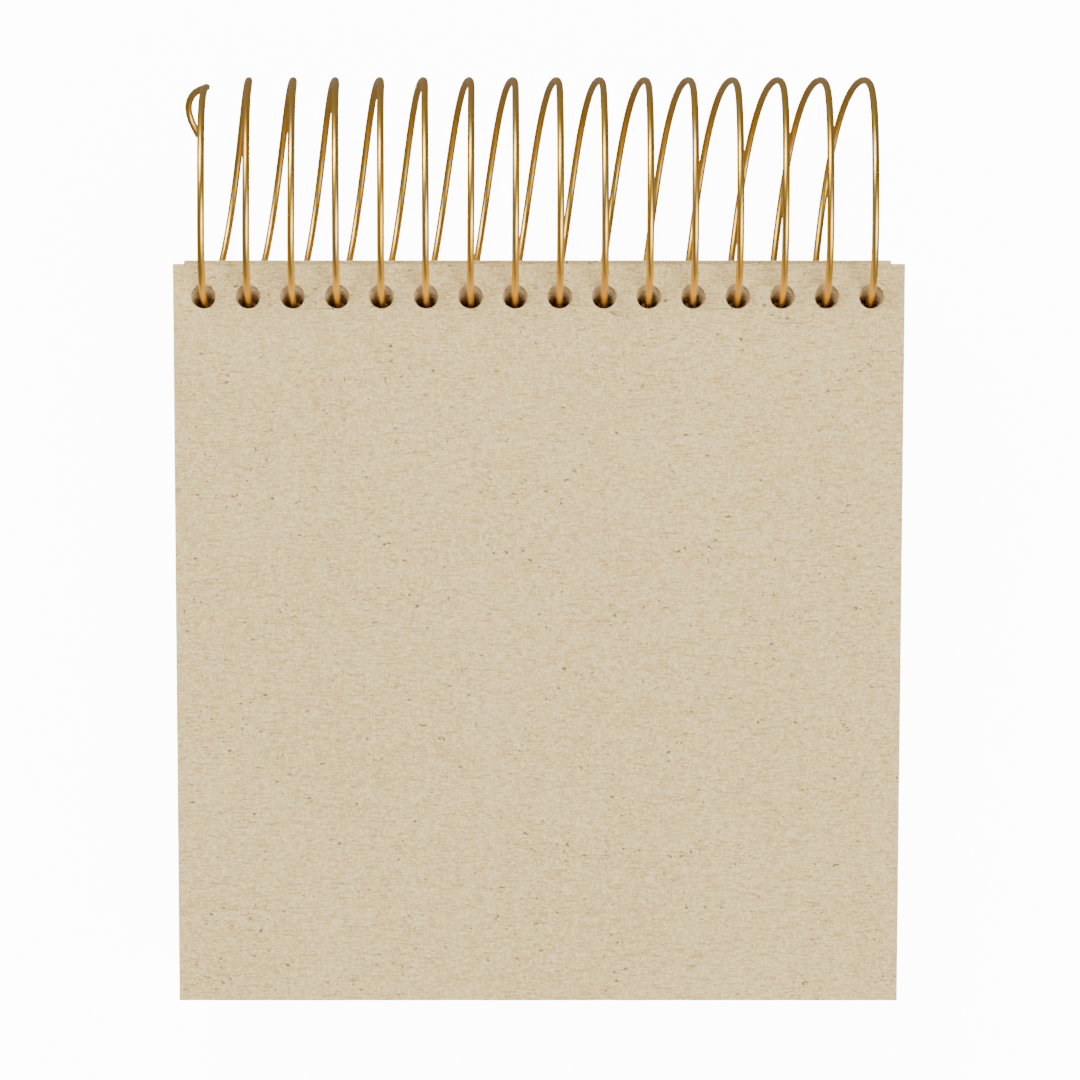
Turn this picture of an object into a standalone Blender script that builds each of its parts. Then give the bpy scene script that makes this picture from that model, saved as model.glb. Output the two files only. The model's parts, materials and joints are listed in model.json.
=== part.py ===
"""Spiral-bound square sketchbook, closed and lying on its back cover.

Metres, +Z up. The covers' length runs along Y with the spiral at the +Y end, and +X is to the right.
Every piece hangs from one empty on the spiral's centre line, the line that covers and leaves turn about.
In that empty's own axes the spiral's centre is at y = 0, z = 0, and the book lies at negative y.
"""

import math

import bmesh
import bpy
from mathutils import Vector

MM = 0.001

# Binding: three holes to the inch, one turn of wire through each hole.
PITCH = 25.4 / 3 * MM
HOLE_COUNT = 16
HOLE_RADIUS = 2.35 * MM
HOLE_FROM_TOP_EDGE = 6.2 * MM
FIRST_HOLE_FROM_LEFT_EDGE = 5.8 * MM

# Spiral wire.
WIRE_RADIUS = 0.7 * MM
COIL_RADIUS = 22.2 * MM  # to the wire's centre line
WIRE_BELOW_HOLE_CENTRE = 0.7 * MM  # in the covers
STACK_SAG = 1.6 * MM  # how far the middle leaves drop on the wire, more than the covers do
SLANT_START_DEG = 155  # from here round to SLANT_END_DEG each turn steps over to the hole on its left
SLANT_END_DEG = 339
SLANT_EASE_DEG = 30  # the slant is straight except for a bend this long at each end
TURN_START_DEG = -18  # each turn is drawn from here round to the same place on the next
POINTS_PER_TURN = 20
LAST_TURN_POINTS = 26
GATHER = 0.012  # in front of the book the turns stand closer to the middle than their holes, by this share
GATHER_START_DEG = 20
GATHER_END_DEG = 170

# The angle of a point on the wire: 0 at the bottom inside the stack, 90 in front of the book, 180 at the
# top of the loop and 270 behind the book.
TAIL_START_DEG = -34  # the right-hand end is bent sideways just behind the back cover
TAIL_END_DEG = -50
TAIL_SIDEWAYS = 3.0 * MM
LEAN_START_DEG = 105  # the left-hand turn first leans in a little
LEAN_INWARD = 1.4 * MM
HOOK_START_DEG = 192  # and is then crimped into a hook that curls down behind itself
HOOK_END_DEG = 223
HOOK_INWARD = 5.0 * MM
HOOK_TIGHTENING = 1.7  # above 1, the hook bends in harder towards its end
HOOK_SIDE_START_DEG = 176
HOOK_SIDEWAYS = 4.6 * MM
HOOK_CURL = 0.72  # 1 would bring the hook's end back in line with its hole

# Covers and leaves.
COVER_WIDTH = 139.2 * MM
COVER_LENGTH = 142.8 * MM
COVER_THICKNESS = 1.8 * MM
LEAF_COUNT = 18
LEAF_THICKNESS = 0.7 * MM
LEAF_SIDE_INSET = 0.8 * MM
LEAF_TOP_INSET = 0.6 * MM
LEAF_BOTTOM_INSET = 4.6 * MM
GAP = 0.3 * MM
COVER_HOLE_SIDES = 10
LEAF_HOLE_SIDES = 6

STACK_THICKNESS = 2 * COVER_THICKNESS + LEAF_COUNT * LEAF_THICKNESS + (LEAF_COUNT + 1) * GAP
COVER_MID_Z = (STACK_THICKNESS - COVER_THICKNESS) / 2


def clear_scene():
    for obj in list(bpy.data.objects):
        bpy.data.objects.remove(obj, do_unlink=True)


def material(name, color, roughness, metallic=0.0):
    made = bpy.data.materials.new(name)
    made.use_nodes = True
    shader = made.node_tree.nodes["Principled BSDF"]
    shader.inputs["Base Color"].default_value = (*color, 1.0)
    shader.inputs["Roughness"].default_value = roughness
    shader.inputs["Metallic"].default_value = metallic
    return made


def hole_x(number):
    """The x of a hole, counted from 1 at the left edge."""
    return -COVER_WIDTH / 2 + FIRST_HOLE_FROM_LEFT_EDGE + (number - 1) * PITCH


def hole_y(z):
    """The y of the holes of a sheet at height z: each sheet hangs on the wire, so the stack follows its arc."""
    sag = STACK_SAG * (1 - (z / COVER_MID_Z) ** 2)
    return -math.sqrt(COIL_RADIUS**2 - z**2) + WIRE_BELOW_HOLE_CENTRE - sag


def smoothstep(t):
    t = min(max(t, 0.0), 1.0)
    return t * t * (3 - 2 * t)


def slant(angle_deg):
    """The share of a pitch that a turn has stepped over, from 0 to 1."""
    into = min(max(angle_deg - SLANT_START_DEG, 0), SLANT_END_DEG - SLANT_START_DEG)
    left = SLANT_END_DEG - SLANT_START_DEG - into
    whole = SLANT_END_DEG - SLANT_START_DEG - SLANT_EASE_DEG
    if into < SLANT_EASE_DEG:
        return into**2 / (2 * SLANT_EASE_DEG * whole)
    if left < SLANT_EASE_DEG:
        return 1 - left**2 / (2 * SLANT_EASE_DEG * whole)
    return (into - SLANT_EASE_DEG / 2) / whole


# ---------------------------------------------------------------- spiral wire


def coil_point(turn_from_right, angle_deg):
    """A point on the wire's centre line, turn 0 being the one through the right-hand hole."""
    swing = (angle_deg - GATHER_START_DEG) / (GATHER_END_DEG - GATHER_START_DEG)
    gather = GATHER * math.sin(math.pi * min(max(swing, 0), 1)) ** 2
    x = hole_x(HOLE_COUNT - turn_from_right) * (1 - gather)
    radius = COIL_RADIUS
    if turn_from_right == 0:
        x += TAIL_SIDEWAYS * smoothstep((angle_deg - TAIL_START_DEG) / (TAIL_END_DEG - TAIL_START_DEG))
    if turn_from_right == HOLE_COUNT - 1:
        lean = (angle_deg - LEAN_START_DEG) / (HOOK_START_DEG - LEAN_START_DEG)
        bend = max(angle_deg - HOOK_START_DEG, 0) / (HOOK_END_DEG - HOOK_START_DEG)
        radius -= LEAN_INWARD * smoothstep(lean) + HOOK_INWARD * bend**HOOK_TIGHTENING
        aside = max(angle_deg - HOOK_SIDE_START_DEG, 0) / (HOOK_END_DEG - HOOK_SIDE_START_DEG)
        x -= HOOK_SIDEWAYS * math.sin(math.pi * HOOK_CURL * aside) ** 2
    else:
        x -= PITCH * slant(angle_deg)
    angle = math.radians(angle_deg)
    return Vector((x, -radius * math.cos(angle), radius * math.sin(angle)))


def coil_points():
    points = [coil_point(0, TAIL_END_DEG)]
    points.append(coil_point(0, (TAIL_END_DEG + TURN_START_DEG) / 2))
    for turn in range(HOLE_COUNT):
        end = HOOK_END_DEG if turn == HOLE_COUNT - 1 else TURN_START_DEG + 360
        count = LAST_TURN_POINTS if turn == HOLE_COUNT - 1 else POINTS_PER_TURN
        for i in range(count):
            points.append(coil_point(turn, TURN_START_DEG + (end - TURN_START_DEG) * i / count))
    points.append(coil_point(HOLE_COUNT - 1, HOOK_END_DEG))
    return points


def make_coil(name, look):
    """One wire from end to end: a poly curve with a round bevel and closed ends."""
    curve = bpy.data.curves.new(name, "CURVE")
    curve.dimensions = "3D"
    curve.bevel_depth = WIRE_RADIUS
    curve.bevel_resolution = 1
    curve.use_fill_caps = True
    points = coil_points()
    spline = curve.splines.new("POLY")
    spline.points.add(len(points) - 1)
    for spline_point, place in zip(spline.points, points):
        spline_point.co = (*place, 1.0)
    curve.materials.append(look)
    coil = bpy.data.objects.new(name, curve)
    bpy.context.scene.collection.objects.link(coil)
    return coil


# ---------------------------------------------------------------- punched sheets


def hole_ring(number, centre_y, sides):
    """The corners of a hole, on a polygon drawn round the hole's circle so that its flats clear the wire."""
    corner_radius = HOLE_RADIUS / math.cos(math.pi / sides)
    ring = []
    for i in range(sides):
        angle = 2 * math.pi * (i + 0.5) / sides
        x = hole_x(number) + corner_radius * math.cos(angle)
        ring.append((x, centre_y + corner_radius * math.sin(angle)))
    return ring


def punched_sheet(name, low, high, mid_z, thickness, sides, look):
    """A flat sheet from corner low to corner high (x, y), with the row of binding holes through it."""
    centre_y = hole_y(mid_z)
    outlines = [[(low[0], low[1]), (high[0], low[1]), (high[0], high[1]), (low[0], high[1])]]
    for number in range(1, HOLE_COUNT + 1):
        outlines.append(hole_ring(number, centre_y, sides))

    mesh = bpy.data.meshes.new(name)
    bm = bmesh.new()
    edges = []
    for outline in outlines:
        corners = [bm.verts.new((x, y, mid_z - thickness / 2)) for x, y in outline]
        for start, end in zip(corners, corners[1:] + corners[:1]):
            edges.append(bm.edges.new((start, end)))
    filled = bmesh.ops.triangle_fill(bm, use_beauty=True, use_dissolve=False, edges=edges)
    faces = [piece for piece in filled["geom"] if isinstance(piece, bmesh.types.BMFace)]
    raised = bmesh.ops.extrude_face_region(bm, geom=faces)
    top = [piece for piece in raised["geom"] if isinstance(piece, bmesh.types.BMVert)]
    bmesh.ops.translate(bm, verts=top, vec=(0, 0, thickness))
    bmesh.ops.recalc_face_normals(bm, faces=bm.faces[:])
    bm.to_mesh(mesh)
    bm.free()

    mesh.materials.append(look)
    sheet = bpy.data.objects.new(name, mesh)
    bpy.context.scene.collection.objects.link(sheet)
    return sheet


def make_cover(name, mid_z, look):
    top = hole_y(mid_z) + HOLE_FROM_TOP_EDGE
    low = (-COVER_WIDTH / 2, top - COVER_LENGTH)
    high = (COVER_WIDTH / 2, top)
    return punched_sheet(name, low, high, mid_z, COVER_THICKNESS, COVER_HOLE_SIDES, look)


def make_leaf(number, look):
    """A leaf, counted from 1 just under the front cover."""
    from_front = COVER_THICKNESS + GAP + (number - 1) * (LEAF_THICKNESS + GAP) + LEAF_THICKNESS / 2
    mid_z = STACK_THICKNESS / 2 - from_front
    cover_top = hole_y(mid_z) + HOLE_FROM_TOP_EDGE
    low = (-COVER_WIDTH / 2 + LEAF_SIDE_INSET, cover_top - COVER_LENGTH + LEAF_BOTTOM_INSET)
    high = (COVER_WIDTH / 2 - LEAF_SIDE_INSET, cover_top - LEAF_TOP_INSET)
    name = f"leaf_{number:02d}"
    return punched_sheet(name, low, high, mid_z, LEAF_THICKNESS, LEAF_HOLE_SIDES, look)


# ---------------------------------------------------------------- assembly


def resting_tilt():
    """The lean, in radians, at which the spiral and the back cover's far edge touch the table together."""
    far = -(hole_y(COVER_MID_Z) + HOLE_FROM_TOP_EDGE - COVER_LENGTH)
    half = STACK_THICKNESS / 2
    drop = COIL_RADIUS + WIRE_RADIUS
    return math.asin(drop / math.hypot(far, half)) - math.atan2(half, far)


def world_box():
    """The lowest and highest corners of everything, as built."""
    bpy.context.view_layer.update()
    graph = bpy.context.evaluated_depsgraph_get()
    corners = []
    for obj in bpy.context.scene.objects:
        if obj.type in ("MESH", "CURVE"):
            evaluated = obj.evaluated_get(graph)
            mesh = evaluated.to_mesh()
            corners += [evaluated.matrix_world @ vertex.co for vertex in mesh.vertices]
            evaluated.to_mesh_clear()
    low = Vector([min(corner[i] for corner in corners) for i in range(3)])
    high = Vector([max(corner[i] for corner in corners) for i in range(3)])
    return low, high


def main():
    clear_scene()
    brass = material("brass_wire", (0.80, 0.52, 0.20), 0.24, metallic=1.0)
    kraft = material("kraft_board", (0.66, 0.55, 0.38), 0.90)
    paper = material("kraft_paper", (0.68, 0.58, 0.43), 0.92)

    pieces = [make_coil("spiral_coil", brass)]
    pieces.append(make_cover("front_cover", COVER_MID_Z, kraft))
    pieces += [make_leaf(number, paper) for number in range(1, LEAF_COUNT + 1)]
    pieces.append(make_cover("back_cover", -COVER_MID_Z, kraft))

    axis = bpy.data.objects.new("spiral_axis", None)
    axis.rotation_euler.x = resting_tilt()
    bpy.context.scene.collection.objects.link(axis)
    for piece in pieces:
        piece.parent = axis

    # Set the whole book down on Z = 0, centred on the origin.
    low, high = world_box()
    axis.location = (-(low.x + high.x) / 2, -(low.y + high.y) / 2, -low.z)


main()
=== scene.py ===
"""The looks of the spiral-bound sketchbook: brass-coloured wire, punched kraft boards and kraft leaves.

Every piece is built in the book's own axes, with the spiral's centre line at y = 0, z = 0, and is then placed
by book_frame(), which leans the book the way the CAD frame does. Lengths are in metres.
"""

import json
import math
import random

import bmesh
import bpy
from mathutils import Matrix, Vector


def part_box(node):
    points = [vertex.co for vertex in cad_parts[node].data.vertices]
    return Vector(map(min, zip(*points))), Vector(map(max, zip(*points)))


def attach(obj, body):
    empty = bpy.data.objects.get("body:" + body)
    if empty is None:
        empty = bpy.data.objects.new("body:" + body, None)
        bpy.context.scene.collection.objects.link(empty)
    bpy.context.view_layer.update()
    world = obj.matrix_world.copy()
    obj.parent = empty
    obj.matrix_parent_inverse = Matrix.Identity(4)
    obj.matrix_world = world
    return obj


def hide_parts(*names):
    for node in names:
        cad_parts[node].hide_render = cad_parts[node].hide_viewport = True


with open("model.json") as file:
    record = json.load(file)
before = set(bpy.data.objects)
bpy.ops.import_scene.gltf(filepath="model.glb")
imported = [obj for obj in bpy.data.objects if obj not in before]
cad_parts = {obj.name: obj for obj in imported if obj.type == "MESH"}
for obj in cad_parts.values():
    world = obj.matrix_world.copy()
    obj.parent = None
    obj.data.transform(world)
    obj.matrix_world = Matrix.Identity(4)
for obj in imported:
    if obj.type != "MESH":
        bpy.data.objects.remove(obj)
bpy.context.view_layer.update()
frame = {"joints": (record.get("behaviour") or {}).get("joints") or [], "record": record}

MM = 0.001

# The part's dimensions. The wire and the spiral are slightly smaller than in the CAD, to stay inside it.
PITCH = 25.4 / 3 * MM
HOLE_COUNT = 16
HOLE_RADIUS = 2.3 * MM  # a little smaller than in the CAD model
HOLE_FROM_TOP_EDGE = 6.2 * MM
FIRST_HOLE_FROM_LEFT_EDGE = 5.8 * MM
WIRE_RADIUS = 0.69 * MM
COIL_RADIUS = 22.12 * MM
WIRE_BELOW_HOLE_CENTRE = 0.62 * MM
STACK_SAG = 1.6 * MM
LEAF_SIDE_INSET = 0.8 * MM
LEAF_TOP_INSET = 0.6 * MM
LEAF_BOTTOM_INSET = 4.6 * MM
COVER_WIDTH = 139.2 * MM
COVER_LENGTH = 142.8 * MM
COVER_THICKNESS = 1.8 * MM
LEAF_COUNT = 18
LEAF_THICKNESS = 0.7 * MM
GAP = 0.3 * MM
STACK_THICKNESS = 2 * COVER_THICKNESS + LEAF_COUNT * LEAF_THICKNESS + (LEAF_COUNT + 1) * GAP
COVER_MID_Z = (STACK_THICKNESS - COVER_THICKNESS) / 2

# Wire: the angle round the spiral is 0 at the bottom, 90 in front, 180 at the top and 270 behind.
# From SLANT_START_DEG to SLANT_END_DEG each turn steps over to the hole on its left.
SLANT_START_DEG = 155
SLANT_END_DEG = 339
SLANT_EASE_DEG = 30
TURN_START_DEG = -18
GATHER = 0.012  # in front, the turns stand closer to the middle than their holes, by this share
GATHER_START_DEG = 20
GATHER_END_DEG = 170
TAIL_START_DEG = -34
TAIL_END_DEG = -50
TAIL_SIDEWAYS = 3.0 * MM
LEAN_START_DEG = 105
LEAN_INWARD = 1.4 * MM
HOOK_START_DEG = 192
HOOK_END_DEG = 223
HOOK_INWARD = 5.0 * MM
HOOK_TIGHTENING = 1.7
HOOK_SIDE_START_DEG = 176
HOOK_SIDEWAYS = 4.6 * MM
HOOK_CURL = 0.72
WIRE_STEP_DEG = 4
WIRE_SWAY = 0.28 * MM  # how far a turn's top leans off the even spacing
SWAY_START_DEG = 40
SWAY_END_DEG = 320
WIRE_SIDES = 18
CAP_INSET = 0.35  # how the wire's cut ends are rounded, in wire radii
CAP_RISE = 0.15

# Covers and leaves.
HOLE_SIDES = 40
COVER_EDGE_STEP = 2.5 * MM
COVER_EDGE_DENT = 0.04 * MM
COVER_EDGE_ROUNDING = 0.16 * MM
LEAF_EDGE_STEP = 4 * MM
LEAF_EDGE_DENT = 0.03 * MM
LEAF_EDGE_ROUNDING = 0.1 * MM
LEAF_TRIM = 0.25 * MM  # how much smaller than its place a leaf may be cut
FLAT_SHADE_DEG = 35  # a sharper fold than this between two faces stays sharp
BEVEL_DEG = 50  # and one sharper than this is rounded over
SPECK_COLOR = (0.15, 0.095, 0.05, 1)
HAIR_COLOR = (0.27, 0.18, 0.10, 1)

FLOOR_SIZE = 6
FLOOR_DROP = 0.2 * MM
FLOOR_GLOW = 12

CAMERA_LENS = 98.3  # in millimetres, like the sensor's width
CAMERA_SENSOR = 36
CAMERA_PITCH_DEG = -0.4
CAMERA_PLACE = (-7.6 * MM, 43.295 * MM, 567 * MM)  # from the cover's middle, along the camera's own axes
CAMERA_SHIFT = (0.038, -0.12)

# Each lamp's place, its width and height, and its power in watts.
KEY_LAMP = ((-0.5, 0.75, 0.9), (0.9, 0.6), 26)
FILL_LAMP = ((0.6, -0.6, 0.9), (0.9, 0.9), 20)

# The world is bright below, dimmer from the horizon up, and dim straight above.
WORLD_BELOW = 5.6
WORLD_STEPS = ((-0.1, 0.3, -2.5), (0.84, 0.98, -2.4))  # from height, to height, change in strength

rng = random.Random(11)


def book_frame():
    """The matrix from the book's own axes to the row frame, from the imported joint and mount."""
    hinge = next(joint for joint in frame["joints"] if joint["name"] == "front_cover_turn")
    mount = next(m for m in frame["record"]["mounts"] if m["name"] == "front_face")
    tilt = math.atan2(-mount["axis"][1], mount["axis"][2])
    return Matrix.Translation(Vector(hinge["pos_m"])) @ Matrix.Rotation(tilt, 4, "X")


BOOK = book_frame()


def smoothstep(t):
    t = min(max(t, 0.0), 1.0)
    return t * t * (3 - 2 * t)


def slant(angle_deg):
    """The share of a pitch that a turn has stepped over, from 0 to 1."""
    into = min(max(angle_deg - SLANT_START_DEG, 0), SLANT_END_DEG - SLANT_START_DEG)
    left = SLANT_END_DEG - SLANT_START_DEG - into
    whole = SLANT_END_DEG - SLANT_START_DEG - SLANT_EASE_DEG
    if into < SLANT_EASE_DEG:
        return into**2 / (2 * SLANT_EASE_DEG * whole)
    if left < SLANT_EASE_DEG:
        return 1 - left**2 / (2 * SLANT_EASE_DEG * whole)
    return (into - SLANT_EASE_DEG / 2) / whole


def hole_x(number):
    return -COVER_WIDTH / 2 + FIRST_HOLE_FROM_LEFT_EDGE + (number - 1) * PITCH


def hole_y(z):
    sag = STACK_SAG * (1 - (z / COVER_MID_Z) ** 2)
    return -math.sqrt(COIL_RADIUS**2 - z**2) + WIRE_BELOW_HOLE_CENTRE - sag


# ---------------------------------------------------------------- node helpers


class Nodes:
    """A short way to write a material's node tree."""

    def __init__(self, name):
        self.material = bpy.data.materials.new(name)
        self.material.use_nodes = True
        self.tree = self.material.node_tree
        self.shader = self.tree.nodes["Principled BSDF"]
        self.coordinates = self.add("ShaderNodeTexCoord").outputs["Object"]

    def add(self, kind, inputs=(), **settings):
        node = self.tree.nodes.new(kind)
        for key, value in settings.items():
            setattr(node, key, value)
        for key, value in dict(inputs).items():
            self.feed(node.inputs[key], value)
        return node

    def feed(self, socket, value):
        if isinstance(value, bpy.types.NodeSocket):
            self.tree.links.new(value, socket)
        else:
            socket.default_value = value

    def stretched(self, scale, turn=0.0):
        mapping = self.add("ShaderNodeMapping", {"Vector": self.coordinates, "Scale": scale})
        mapping.inputs["Rotation"].default_value = (0, 0, turn)
        return mapping.outputs["Vector"]

    def noise(self, vector, scale, detail=3.0, roughness=0.55, distortion=0.0):
        inputs = {"Vector": vector, "Scale": scale, "Detail": detail}
        inputs.update({"Roughness": roughness, "Distortion": distortion})
        return self.add("ShaderNodeTexNoise", inputs).outputs["Fac"]

    def ramp(self, value, low, high, out_low=0.0, out_high=1.0):
        inputs = {"Value": value, "From Min": low, "From Max": high}
        inputs.update({"To Min": out_low, "To Max": out_high})
        return self.add("ShaderNodeMapRange", inputs).outputs["Result"]

    def mix(self, share, first, second):
        node = self.add("ShaderNodeMix", data_type="RGBA")
        self.feed(node.inputs[0], share)
        self.feed(node.inputs[6], first)
        self.feed(node.inputs[7], second)
        return node.outputs[2]

    def math(self, operation, first, second):
        node = self.add("ShaderNodeMath", operation=operation)
        self.feed(node.inputs[0], first)
        self.feed(node.inputs[1], second)
        return node.outputs[0]

    def bump(self, height, distance, strength=1.0):
        inputs = {"Height": height, "Distance": distance, "Strength": strength}
        self.feed(self.shader.inputs["Normal"], self.add("ShaderNodeBump", inputs).outputs[0])


def brass_material():
    """Brass plating: slight tarnish, a fine surface grain and a soft, uneven gloss."""
    n = Nodes("brass_wire_look")
    tarnish = n.noise(n.coordinates, 90, detail=4)
    fine = n.noise(n.coordinates, 1800, detail=2)
    warm = n.mix(n.ramp(tarnish, 0.35, 0.7), (0.86, 0.52, 0.10, 1), (0.74, 0.41, 0.06, 1))
    n.feed(n.shader.inputs["Base Color"], warm)
    n.feed(n.shader.inputs["Roughness"], n.ramp(tarnish, 0.3, 0.75, 0.27, 0.40))
    n.shader.inputs["Metallic"].default_value = 1.0
    n.bump(fine, 0.00002, 0.35)
    return n.material


def kraft_material(name, base, dark, light, speck_share, offset):
    """Recycled board or paper: soft mottling, fine fibres mostly along X, and loose dark specks and hairs."""
    n = Nodes(name)
    shifted = n.add("ShaderNodeVectorMath", operation="ADD")
    n.feed(shifted.inputs[0], n.coordinates)
    n.feed(shifted.inputs[1], offset)
    n.coordinates = shifted.outputs[0]

    cloud = n.noise(n.coordinates, 38, detail=5, roughness=0.6)
    pulp = n.noise(n.coordinates, 1500, detail=4, roughness=0.75)
    along = n.noise(n.stretched((600, 3000, 3000)), 1.0, detail=3, distortion=0.8)
    across = n.noise(n.stretched((2800, 900, 2800), 0.5), 1.0, detail=2, distortion=0.9)

    color = n.mix(n.ramp(cloud, 0.3, 0.72, 0.0, 0.35), base, dark)
    color = n.mix(n.ramp(pulp, 0.47, 0.58, 0.0, 0.90), color, light)
    color = n.mix(n.ramp(along, 0.51, 0.60, 0.0, 0.80), color, dark)
    color = n.mix(n.ramp(across, 0.55, 0.63, 0.0, 0.65), color, light)

    specks = n.noise(n.stretched((900, 1300, 1100)), 1.0, detail=1.5, distortion=0.4)
    sparse = n.noise(n.coordinates, 160, detail=1)
    shown = n.math("MULTIPLY", n.ramp(specks, 0.67, 0.71), n.ramp(sparse, 0.42, 0.50))
    color = n.mix(n.math("MULTIPLY", shown, speck_share), color, SPECK_COLOR)
    hairs = n.noise(n.stretched((210, 1900, 1900), 0.35), 1.0, detail=1, distortion=1.6)
    hair_share = n.math("MULTIPLY", n.ramp(hairs, 0.69, 0.73), 0.6 * speck_share)
    color = n.mix(hair_share, color, HAIR_COLOR)

    n.feed(n.shader.inputs["Base Color"], color)
    n.feed(n.shader.inputs["Roughness"], n.ramp(pulp, 0.3, 0.7, 0.82, 0.97))
    n.shader.inputs["Specular IOR Level"].default_value = 0.25
    relief = n.math("ADD", n.math("MULTIPLY", along, 0.6), n.math("MULTIPLY", pulp, 0.8))
    n.bump(relief, 0.00007, 0.5)
    return n.material


def floor_material():
    n = Nodes("pale_floor_look")
    n.shader.inputs["Base Color"].default_value = (0.93, 0.93, 0.93, 1)
    n.shader.inputs["Roughness"].default_value = 0.9
    n.shader.inputs["Emission Color"].default_value = (1, 1, 1, 1)
    n.shader.inputs["Emission Strength"].default_value = FLOOR_GLOW
    return n.material


# ---------------------------------------------------------------- spiral wire


def wire_point(turn_from_right, angle_deg, sway):
    """A point on the wire's centre line, in the book's axes."""
    swing = (angle_deg - GATHER_START_DEG) / (GATHER_END_DEG - GATHER_START_DEG)
    gather = GATHER * math.sin(math.pi * min(max(swing, 0), 1)) ** 2
    x = hole_x(HOLE_COUNT - turn_from_right) * (1 - gather)
    radius = COIL_RADIUS
    if turn_from_right == 0:
        x += TAIL_SIDEWAYS * smoothstep((angle_deg - TAIL_START_DEG) / (TAIL_END_DEG - TAIL_START_DEG))
    if turn_from_right == HOLE_COUNT - 1:
        lean = (angle_deg - LEAN_START_DEG) / (HOOK_START_DEG - LEAN_START_DEG)
        bend = max(angle_deg - HOOK_START_DEG, 0) / (HOOK_END_DEG - HOOK_START_DEG)
        radius -= LEAN_INWARD * smoothstep(lean) + HOOK_INWARD * bend**HOOK_TIGHTENING
        aside = max(angle_deg - HOOK_SIDE_START_DEG, 0) / (HOOK_END_DEG - HOOK_SIDE_START_DEG)
        x -= HOOK_SIDEWAYS * math.sin(math.pi * HOOK_CURL * aside) ** 2
    else:
        x -= PITCH * slant(angle_deg)
        lean = (angle_deg - SWAY_START_DEG) / (SWAY_END_DEG - SWAY_START_DEG)
        x += sway * math.sin(math.pi * min(max(lean, 0), 1)) ** 2
    angle = math.radians(angle_deg)
    return Vector((x, -radius * math.cos(angle), radius * math.sin(angle)))


def wire_path():
    points = []
    for turn in range(HOLE_COUNT):
        start = TAIL_END_DEG if turn == 0 else TURN_START_DEG
        end = HOOK_END_DEG if turn == HOLE_COUNT - 1 else TURN_START_DEG + 360
        sway = rng.uniform(-WIRE_SWAY, WIRE_SWAY)
        count = round((end - start) / WIRE_STEP_DEG)
        for i in range(count):
            points.append(wire_point(turn, start + (end - start) * i / count, sway))
    points.append(wire_point(HOLE_COUNT - 1, HOOK_END_DEG, 0))
    return points


def make_wire(look):
    """The spiral as one mesh tube with rounded cut ends."""
    path = wire_path()
    bm = bmesh.new()
    normal = Vector((1, 0, 0))
    rings = []
    for i, place in enumerate(path):
        ahead = path[min(i + 1, len(path) - 1)] - path[max(i - 1, 0)]
        ahead.normalize()
        normal = (normal - ahead * normal.dot(ahead)).normalized()
        side = ahead.cross(normal)
        ring = []
        for k in range(WIRE_SIDES):
            turn = 2 * math.pi * k / WIRE_SIDES
            offset = normal * math.cos(turn) + side * math.sin(turn)
            ring.append(bm.verts.new(place + offset * WIRE_RADIUS))
        rings.append(ring)
    for first, second in zip(rings, rings[1:]):
        for k in range(WIRE_SIDES):
            after = (k + 1) % WIRE_SIDES
            bm.faces.new((first[k], first[after], second[after], second[k]))
    for ring in (rings[0][::-1], rings[-1]):
        cap = bm.faces.new(ring)
        inset, rise = WIRE_RADIUS * CAP_INSET, WIRE_RADIUS * CAP_RISE
        bmesh.ops.inset_region(bm, faces=[cap], thickness=inset, depth=rise)
    bmesh.ops.recalc_face_normals(bm, faces=bm.faces[:])
    mesh = bpy.data.meshes.new("wire_spiral")
    bm.to_mesh(mesh)
    bm.free()
    mesh.transform(BOOK)
    mesh.shade_smooth()
    mesh.materials.append(look)
    wire = bpy.data.objects.new("wire_spiral", mesh)
    bpy.context.scene.collection.objects.link(wire)
    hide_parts("spiral_coil")
    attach(wire, "binding")


# ---------------------------------------------------------------- covers and leaves


def rough_edge(low, high, step, depth):
    """A sheet's outline from corner low to corner high, its cut edges wandering by up to depth."""
    corners = [(low[0], low[1]), (high[0], low[1]), (high[0], high[1]), (low[0], high[1])]
    outline = []
    for start, end in zip(corners, corners[1:] + corners[:1]):
        count = max(1, round(math.dist(start, end) / step))
        inward_x = -math.copysign(1, start[0]) if start[0] == end[0] else 0
        inward_y = (1 if start[1] == low[1] else -1) if start[1] == end[1] else 0
        for i in range(count):
            share = i / count
            dent = depth * rng.random() if i else 0
            x = start[0] + (end[0] - start[0]) * share + inward_x * dent
            y = start[1] + (end[1] - start[1]) * share + inward_y * dent
            outline.append((x, y))
    return outline


def hole_outline(number, centre_y):
    ring = []
    for i in range(HOLE_SIDES):
        angle = 2 * math.pi * i / HOLE_SIDES
        x = hole_x(number) + HOLE_RADIUS * math.cos(angle)
        ring.append((x, centre_y + HOLE_RADIUS * math.sin(angle)))
    return ring


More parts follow.
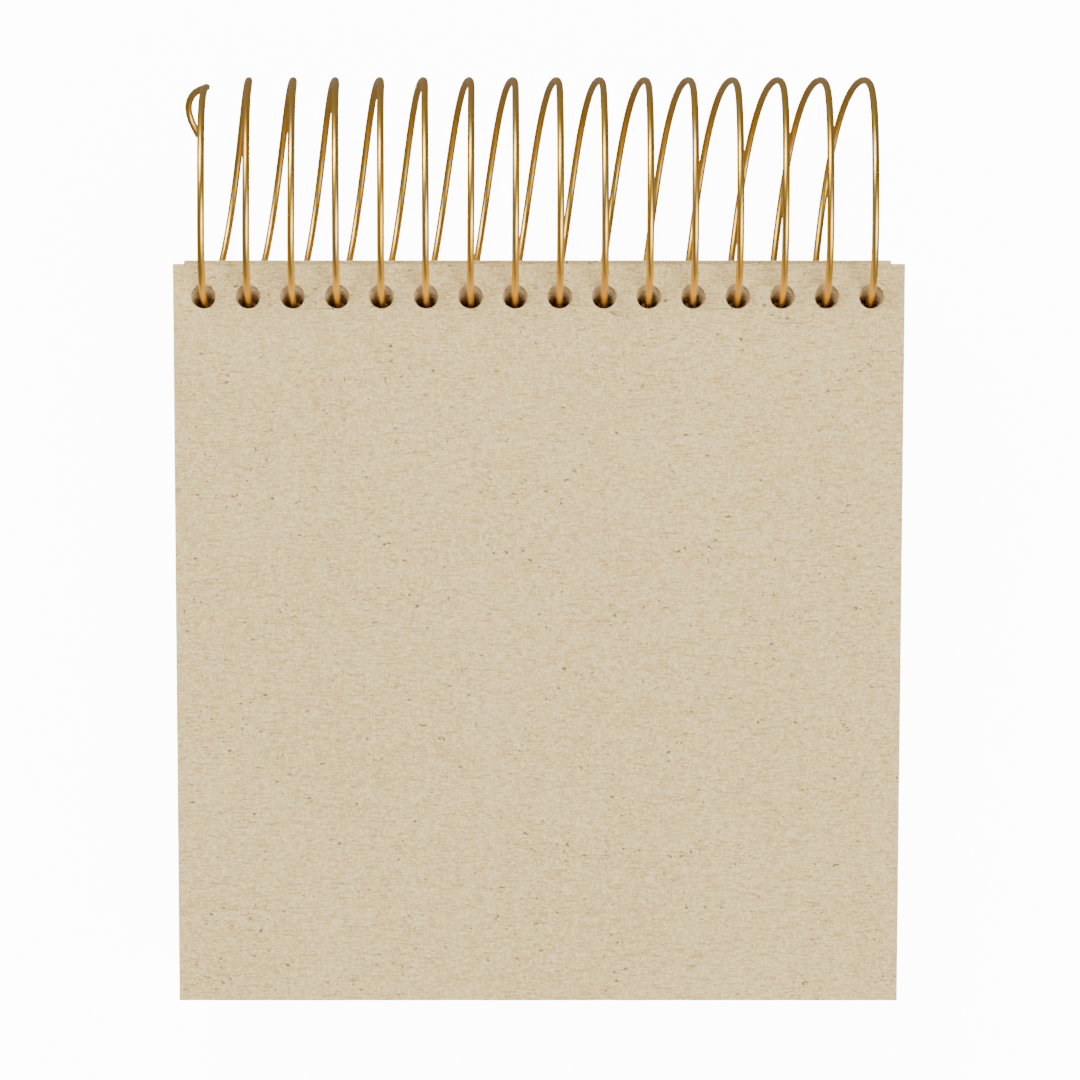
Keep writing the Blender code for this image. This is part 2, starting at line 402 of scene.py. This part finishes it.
def make_sheet(name, node, body, mid_z, thickness, outline, look, rounding):
    """A punched sheet with softened edges, standing for one CAD node."""
    bm = bmesh.new()
    edges = []
    outlines = [outline] + [hole_outline(number, hole_y(mid_z)) for number in range(1, HOLE_COUNT + 1)]
    for loop in outlines:
        corners = [bm.verts.new((x, y, mid_z - thickness / 2)) for x, y in loop]
        for start, end in zip(corners, corners[1:] + corners[:1]):
            edges.append(bm.edges.new((start, end)))
    filled = bmesh.ops.triangle_fill(bm, use_beauty=True, use_dissolve=False, edges=edges)
    faces = [piece for piece in filled["geom"] if isinstance(piece, bmesh.types.BMFace)]
    raised = bmesh.ops.extrude_face_region(bm, geom=faces)
    top = [piece for piece in raised["geom"] if isinstance(piece, bmesh.types.BMVert)]
    bmesh.ops.translate(bm, verts=top, vec=(0, 0, thickness))
    bmesh.ops.recalc_face_normals(bm, faces=bm.faces[:])
    mesh = bpy.data.meshes.new(name)
    bm.to_mesh(mesh)
    bm.free()
    mesh.transform(BOOK)
    mesh.shade_smooth()
    mesh.set_sharp_from_angle(angle=math.radians(FLAT_SHADE_DEG))
    mesh.materials.append(look)
    sheet = bpy.data.objects.new(name, mesh)
    bpy.context.scene.collection.objects.link(sheet)
    bevel = sheet.modifiers.new("soft_edges", "BEVEL")
    bevel.width = rounding
    bevel.segments = 2
    bevel.limit_method = "ANGLE"
    bevel.angle_limit = math.radians(BEVEL_DEG)
    bevel.harden_normals = True
    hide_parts(node)
    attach(sheet, body)


def make_covers():
    look = kraft_material(
        "kraft_board_look",
        base=(0.755, 0.550, 0.225, 1),
        dark=(0.540, 0.340, 0.105, 1),
        light=(0.880, 0.700, 0.365, 1),
        speck_share=0.85,
        offset=(0.0, 0.0, 0.0),
    )
    for name, node, body, side in (
        ("front_board", "front_cover", "front_cover", 1),
        ("back_board", "back_cover", "binding", -1),
    ):
        mid_z = side * COVER_MID_Z
        top = hole_y(mid_z) + HOLE_FROM_TOP_EDGE
        low = (-COVER_WIDTH / 2, top - COVER_LENGTH)
        high = (COVER_WIDTH / 2, top)
        outline = rough_edge(low, high, COVER_EDGE_STEP, COVER_EDGE_DENT)
        make_sheet(
            name, node, body, mid_z, COVER_THICKNESS, outline, look, COVER_EDGE_ROUNDING
        )


def make_leaves():
    look = kraft_material(
        "kraft_leaf_look",
        base=(0.69, 0.54, 0.31, 1),
        dark=(0.58, 0.43, 0.22, 1),
        light=(0.79, 0.66, 0.42, 1),
        speck_share=0.6,
        offset=(0.31, 0.17, 0.0),
    )
    for number in range(1, LEAF_COUNT + 1):
        from_front = COVER_THICKNESS + GAP + (number - 1) * (LEAF_THICKNESS + GAP) + LEAF_THICKNESS / 2
        mid_z = STACK_THICKNESS / 2 - from_front
        top = hole_y(mid_z) + HOLE_FROM_TOP_EDGE
        trim = LEAF_TRIM * rng.random()
        side = COVER_WIDTH / 2 - LEAF_SIDE_INSET - trim
        low = (-side, top - COVER_LENGTH + LEAF_BOTTOM_INSET + trim)
        high = (side, top - LEAF_TOP_INSET)
        node = f"leaf_{number:02d}"
        outline = rough_edge(low, high, LEAF_EDGE_STEP, LEAF_EDGE_DENT)
        make_sheet(
            f"paper_{number:02d}", node, node, mid_z, LEAF_THICKNESS, outline, look,
            LEAF_EDGE_ROUNDING,
        )


# ---------------------------------------------------------------- stage, light and camera


def make_floor():
    bpy.ops.mesh.primitive_plane_add(size=FLOOR_SIZE, location=(0, 0, -FLOOR_DROP))
    floor = bpy.context.object
    floor.name = "floor"
    floor.data.materials.append(floor_material())
    # The white is for the camera alone: it neither lights the book nor shows in the wire.
    floor.visible_diffuse = False
    floor.visible_glossy = False


def area_light(name, place, size, power):
    """A rectangular lamp, size wide and high, aimed at the origin."""
    light = bpy.data.lights.new(name, "AREA")
    light.shape = "RECTANGLE"
    light.size, light.size_y = size
    light.energy = power
    lamp = bpy.data.objects.new(name, light)
    lamp.location = place
    lamp.rotation_euler = (-Vector(place)).to_track_quat("-Z", "Y").to_euler()
    bpy.context.scene.collection.objects.link(lamp)


def make_light():
    world = bpy.data.worlds.new("studio")
    world.use_nodes = True
    bpy.context.scene.world = world
    tree = world.node_tree
    background = tree.nodes["Background"]
    coordinates = tree.nodes.new("ShaderNodeTexCoord")
    height = tree.nodes.new("ShaderNodeSeparateXYZ")
    tree.links.new(coordinates.outputs["Generated"], height.inputs[0])
    bright = None
    for low, high, share in WORLD_STEPS:
        step = tree.nodes.new("ShaderNodeMapRange")
        step.interpolation_type = "SMOOTHSTEP"
        step.inputs["From Min"].default_value = low
        step.inputs["From Max"].default_value = high
        step.inputs["To Max"].default_value = share
        tree.links.new(height.outputs["Z"], step.inputs["Value"])
        total = tree.nodes.new("ShaderNodeMath")
        if bright is None:
            total.inputs[0].default_value = WORLD_BELOW
        else:
            tree.links.new(bright, total.inputs[0])
        tree.links.new(step.outputs[0], total.inputs[1])
        bright = total.outputs[0]
    tree.links.new(bright, background.inputs["Strength"])
    area_light("key", *KEY_LAMP)
    area_light("fill", *FILL_LAMP)


def make_camera():
    """Nearly square on to the front cover, from a little towards the spiral."""
    data = bpy.data.cameras.new("camera")
    data.sensor_width = CAMERA_SENSOR
    data.lens = CAMERA_LENS
    data.shift_x, data.shift_y = CAMERA_SHIFT
    camera = bpy.data.objects.new("camera", data)
    camera.rotation_euler = (math.radians(CAMERA_PITCH_DEG), 0, 0)
    lo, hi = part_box("front_cover")
    turn = camera.rotation_euler.to_matrix()
    camera.location = (lo + hi) / 2 + turn @ Vector(CAMERA_PLACE)
    bpy.context.scene.collection.objects.link(camera)
    bpy.context.scene.camera = camera


make_camera()
make_wire(brass_material())
make_covers()
make_leaves()
make_floor()
make_light()
